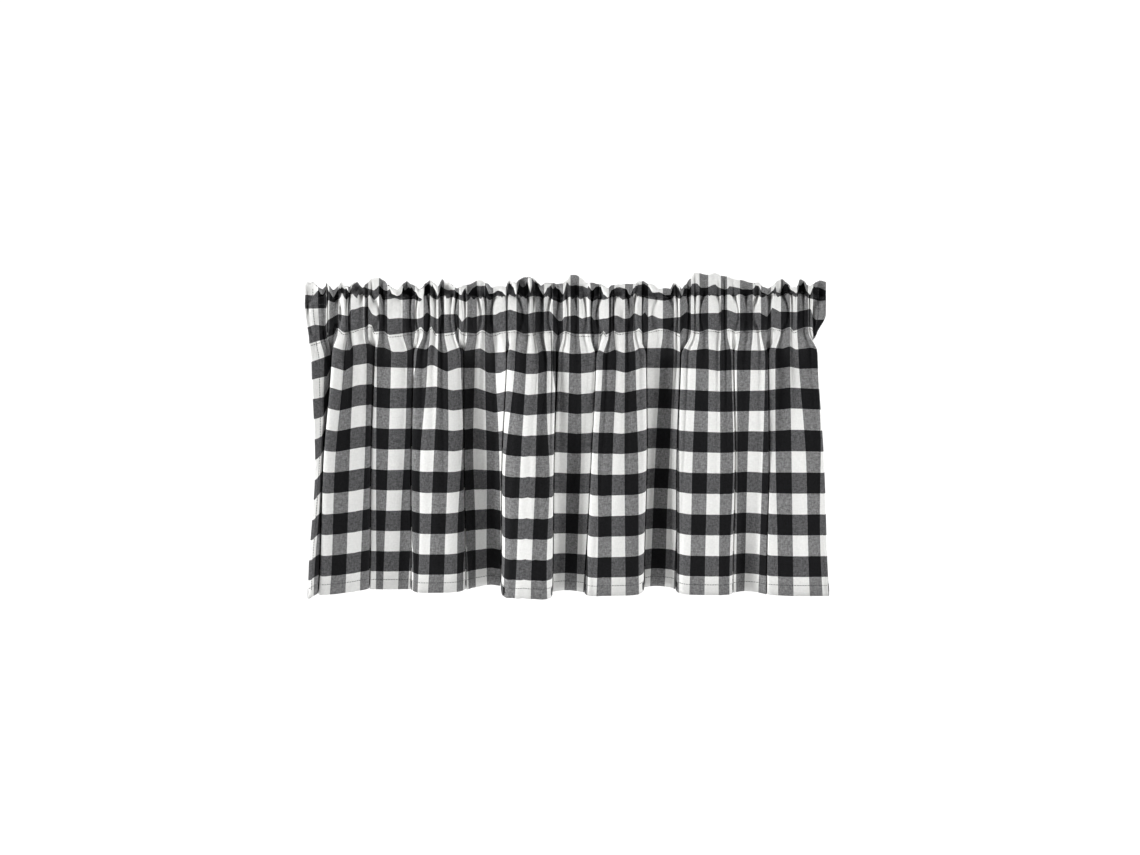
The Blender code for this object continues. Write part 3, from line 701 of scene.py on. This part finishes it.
cotton = bpy.data.materials.new("woven_check_cotton")
cotton.use_nodes = True
weave = cotton.node_tree
place = node(weave, "ShaderNodeUVMap", uv_map="cloth")
axes = node(weave, "ShaderNodeSeparateXYZ", [(0, place)])
black_warp, black_weft = (
    node(weave, "ShaderNodeMath", [(0, node(weave, "ShaderNodeMath", [(0, axis)],
                                            operation="FLOORED_MODULO", in_1=2.0))],
         operation="GREATER_THAN", in_1=1.0)
    for axis in (axes.outputs[0], axes.outputs[1]))

# In a mixed check each crossing shows the thread on top, so it is lighter or darker by turns.
threads = node(weave, "ShaderNodeVectorMath", [(0, place)], operation="MULTIPLY",
               in_1=(STRIPE / THREAD, CHECK / THREAD, 0.0))
over = node(weave, "ShaderNodeTexChecker", [(0, threads)], in_3=1.0).outputs[1]
light_grey = node(weave, "ShaderNodeMix", [(0, over)], data_type="RGBA",
                  in_6=linear("#6F6F70"), in_7=linear("#8E8E8E"))
dark_grey = node(weave, "ShaderNodeMix", [(0, over)], data_type="RGBA",
                 in_6=linear("#4B4B4D"), in_7=linear("#6A6A6B"))
light_row = node(weave, "ShaderNodeMix", [(0, black_warp), (7, light_grey.outputs[2])],
                 data_type="RGBA", in_6=linear("#F4F4F2"))
dark_row = node(weave, "ShaderNodeMix", [(0, black_warp), (6, dark_grey.outputs[2])],
                data_type="RGBA", in_7=linear("#121214"))
checks = node(weave, "ShaderNodeMix", [(0, black_weft), (6, light_row.outputs[2]),
                                       (7, dark_row.outputs[2])], data_type="RGBA")

# Slubs in warp and weft, as one brightness about 1. White nearly hides them, so there they
# are faint.
warp_slubs, weft_slubs = (
    node(weave, "ShaderNodeTexNoise", [(0, node(
        weave, "ShaderNodeVectorMath", [(0, place)], operation="MULTIPLY",
        in_1=(STRIPE / wide, CHECK / tall, 0.0)))], in_2=1.0, in_3=2.0)
    for wide, tall in (SLUB, SLUB[::-1]))
both_slubs = node(weave, "ShaderNodeMath", [(0, warp_slubs), (1, weft_slubs)], operation="ADD")
slubs = node(weave, "ShaderNodeMapRange", [(0, both_slubs)], in_1=SLUB_NOISE[0],
             in_2=SLUB_NOISE[1], in_3=-SLUB_CONTRAST, in_4=SLUB_CONTRAST)
any_black = node(weave, "ShaderNodeMath", [(0, black_warp), (1, black_weft)],
                 operation="MAXIMUM")
slub_share = node(weave, "ShaderNodeMath", [(0, any_black)], operation="MULTIPLY_ADD",
                  in_1=1.0 - WHITE_SLUBS, in_2=WHITE_SLUBS)
slub_shade = node(weave, "ShaderNodeMath", [(0, slubs), (1, slub_share)],
                  operation="MULTIPLY_ADD", in_2=1.0)
# Painted shade over the doubled hem, multiplied into the slubs' real streaks.
painted_hem_shade = node(weave, "ShaderNodeMapRange", [(0, axes.outputs[1])], in_1=PAINTED_HEM_SHADE[0],
                 in_2=PAINTED_HEM_SHADE[1], in_3=1.0, in_4=PAINTED_HEM_SHADE[2])
slubs_and_painted_hem_shade = node(weave, "ShaderNodeMath", [(0, slub_shade), (1, painted_hem_shade)], operation="MULTIPLY")
woven = node(weave, "ShaderNodeVectorMath", [(0, checks.outputs[2]), (3, slubs_and_painted_hem_shade)],
             operation="SCALE")

# Relief: each thread is a low ridge where it lies on top, and the puckers stand beside the sewing.
thread_axes = node(weave, "ShaderNodeSeparateXYZ", [(0, threads)])
half_turns = [node(weave, "ShaderNodeMath", [(0, axis)], operation="MULTIPLY", in_1=np.pi)
              for axis in (thread_axes.outputs[0], thread_axes.outputs[1])]
warp_ridge, weft_ridge = (
    node(weave, "ShaderNodeMath", [(0, node(weave, "ShaderNodeMath", [(0, half_turn)],
                                            operation="SINE"))], operation="ABSOLUTE")
    for half_turn in half_turns)
thread_top = node(weave, "ShaderNodeMix", [(0, over), (2, weft_ridge), (3, warp_ridge)],
                  data_type="FLOAT")
weave_bump = node(weave, "ShaderNodeBump", [("Height", thread_top)], in_0=1.0, in_1=WEAVE_DEPTH)
pucker_place = node(weave, "ShaderNodeVectorMath", [(0, place)], operation="MULTIPLY",
                    in_1=(STRIPE / PUCKER[0], CHECK / PUCKER[1], 0.0))
folds = node(weave, "ShaderNodeTexNoise", [(0, pucker_place)], in_2=1.0, in_3=1.0)
bells = []
for stitch_v in (UPPER_STITCH_V, LOWER_STITCH_V):
    away = node(weave, "ShaderNodeMath", [(0, axes.outputs[1])], operation="SUBTRACT",
                in_1=stitch_v)
    off = node(weave, "ShaderNodeMath", [(0, away)], operation="DIVIDE", in_1=PUCKER_REACH)
    square = node(weave, "ShaderNodeMath", [(0, off), (1, off)], operation="MULTIPLY")
    minus = node(weave, "ShaderNodeMath", [(0, square)], operation="MULTIPLY", in_1=-1.0)
    bells.append(node(weave, "ShaderNodeMath", [(0, minus)], operation="EXPONENT"))
near_sewing = node(weave, "ShaderNodeMath", [(0, bells[0]), (1, bells[1])], operation="ADD")
puckered = node(weave, "ShaderNodeMath", [(0, folds), (1, near_sewing)], operation="MULTIPLY")
puckers = node(weave, "ShaderNodeBump", [("Height", puckered), ("Normal", weave_bump)],
               in_0=1.0, in_1=PUCKER_DEPTH)
shader = weave.nodes["Principled BSDF"]
shader.inputs["Roughness"].default_value = 0.88
shader.inputs["Specular IOR Level"].default_value = 0.12
shader.inputs["Sheen Weight"].default_value = 0.06
shader.inputs["Sheen Roughness"].default_value = 0.5
weave.links.new(woven.outputs[0], shader.inputs["Base Color"])
weave.links.new(puckers.outputs[0], shader.inputs["Normal"])

points = np.stack((across(px_cloth, reach_cloth, z_cloth), -reach_cloth, z_cloth), axis=-1)
cloth = grid_mesh("valance_cotton", points, uv=np.stack((u_cloth, pattern_v), axis=-1))
solidify = cloth.modifiers.new("cloth_thickness", "SOLIDIFY")
solidify.thickness = CLOTH_THICKNESS
solidify.offset = -1.0
cloth.data.materials.append(cotton)
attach(cloth, "root")
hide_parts("valance_cloth")

# The sewing: black cotton thread in short running stitches along the two rows of the pocket, the
# hem and both turned-in sides. Real thread is 0.3 mm thick, too fine to show, so it is drawn
# 0.7 mm thick. Each stitch lies half in the cloth.
STITCH_PITCH = 3.2 * MM
STITCH_LENGTH = 2.8 * MM
STITCH_WIDTH = 0.7 * MM
HEM_STITCH_V = 12.42
SIDE_STITCH_U = 0.6           # stripes from the side edge
SIDE_ROWS = (-3.3, 12.9)      # bands between which the sides are sewn

across_way, down_way = np.gradient(points, axis=1), np.gradient(points, axis=0)
outward = np.cross(down_way, across_way)
outward /= np.maximum(np.linalg.norm(outward, axis=-1, keepdims=True), 1e-9)
front = slice(BACK_ROWS + BACK_HEADING_ROWS, -HEM_ROWS)


def seam(values, target, field):
    """A field of the sheet along the line on which the values are the target."""
    k, column, part = where(values, target)
    return field[k, column] + part[:, None] * (field[k + 1, column] - field[k, column])


def sewn(line, normals):
    """Stitches spaced evenly along a line: both ends of each, and the cloth's normal there."""
    length = np.concatenate(([0.0], np.cumsum(np.linalg.norm(np.diff(line, axis=0), axis=1))))
    at = np.arange(STITCH_PITCH, length[-1] - STITCH_PITCH, STITCH_PITCH)
    ends = [np.stack([np.interp(at + side * STITCH_LENGTH, length, line[:, i])
                      for i in range(3)], axis=-1) for side in (-0.5, 0.5)]
    up = np.stack([np.interp(at, length, normals[:, i]) for i in range(3)], axis=-1)
    return ends[0], ends[1], up / np.linalg.norm(up, axis=1, keepdims=True)


pattern_front, u_front = pattern_v[front], np.broadcast_to(u_cloth[front], pattern_v[front].shape)
rows = (pattern_front[:, 0] > SIDE_ROWS[0]) & (pattern_front[:, 0] < SIDE_ROWS[1])
seams = [sewn(seam(pattern_front, v, points[front]), seam(pattern_front, v, outward[front]))
         for v in (UPPER_STITCH_V, LOWER_STITCH_V, HEM_STITCH_V)]
for u in (SIDE_STITCH_U, STRIPES - SIDE_STITCH_U):
    turned_field = [np.swapaxes(field[front][rows], 0, 1) for field in (points, outward)]
    seams.append(sewn(*(seam(u_front[rows].T, u, field) for field in turned_field)))
first, last, up = (np.concatenate(part) for part in zip(*seams))

RIM = 6                       # sides of a stitch's rounded bar
SWELL = np.array((0.25, 1.0, 1.0, 0.25))      # its thickness from end to end
ALONG = np.array((0.0, 0.2, 0.8, 1.0))
way = last - first
side_way = np.cross(up, way)
side_way /= np.linalg.norm(side_way, axis=1, keepdims=True)
angle = 2 * np.pi * np.arange(RIM) / RIM
ring = (np.cos(angle)[:, None, None] * side_way + np.sin(angle)[:, None, None] * up)
bars = (first + ALONG[:, None, None, None] * way
        + 0.5 * STITCH_WIDTH * SWELL[:, None, None, None] * ring)
bars = bars.transpose(2, 0, 1, 3)             # stitch, place along it, side, xyz
corner = np.arange(len(ALONG) * RIM).reshape(len(ALONG), RIM)
turn = np.roll(corner, -1, axis=1)
sides = np.stack((corner[:-1], turn[:-1], turn[1:], corner[1:]), axis=-1).reshape(-1, 4)
caps = np.array((corner[0, ::-1], corner[-1]))
shift_index = np.arange(len(bars))[:, None, None] * corner.size
thread_mesh = bpy.data.meshes.new("stitches")
thread_mesh.from_pydata(bars.reshape(-1, 3), [], (shift_index + sides).reshape(-1, 4).tolist()
                        + (shift_index + caps).reshape(-1, RIM).tolist())
thread_mesh.shade_smooth()
stitches = bpy.data.objects.new("stitches", thread_mesh)
bpy.context.scene.collection.objects.link(stitches)

# Mercerised cotton thread: soft and faintly shiny, its plies twisted into a fine slant. The slant
# is painted: lighter bands are painted light on the plies' crowns, darker ones painted shade in
# the grooves between them. The real twist repeats about every 0.4 mm, too fine to show. Along a
# stitch the diagonal wave repeats every 0.2 pi over its scale.
twisted = bpy.data.materials.new("twisted_cotton_thread")
twisted.use_nodes = True
thread_tree = twisted.node_tree
PLY_PITCH = 0.754 * MM
spot = node(thread_tree, "ShaderNodeTexCoord").outputs[3]
plies = node(thread_tree, "ShaderNodeTexWave", [(0, spot)], wave_type="BANDS",
             bands_direction="DIAGONAL", in_1=0.2 * np.pi / PLY_PITCH, in_2=1.0)
# Painted light and shade on the twist: lighter grey on the plies' crowns, darker in the grooves.
painted_ply_light_and_shade = node(thread_tree, "ShaderNodeMix", [(0, plies.outputs[1])], data_type="RGBA",
                  in_6=linear("#262628"), in_7=linear("#3E3E40"))
thread_shader = thread_tree.nodes["Principled BSDF"]
thread_shader.inputs["Roughness"].default_value = 0.6
thread_tree.links.new(painted_ply_light_and_shade.outputs[2], thread_shader.inputs["Base Color"])
stitches.data.materials.append(twisted)
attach(stitches, "root")
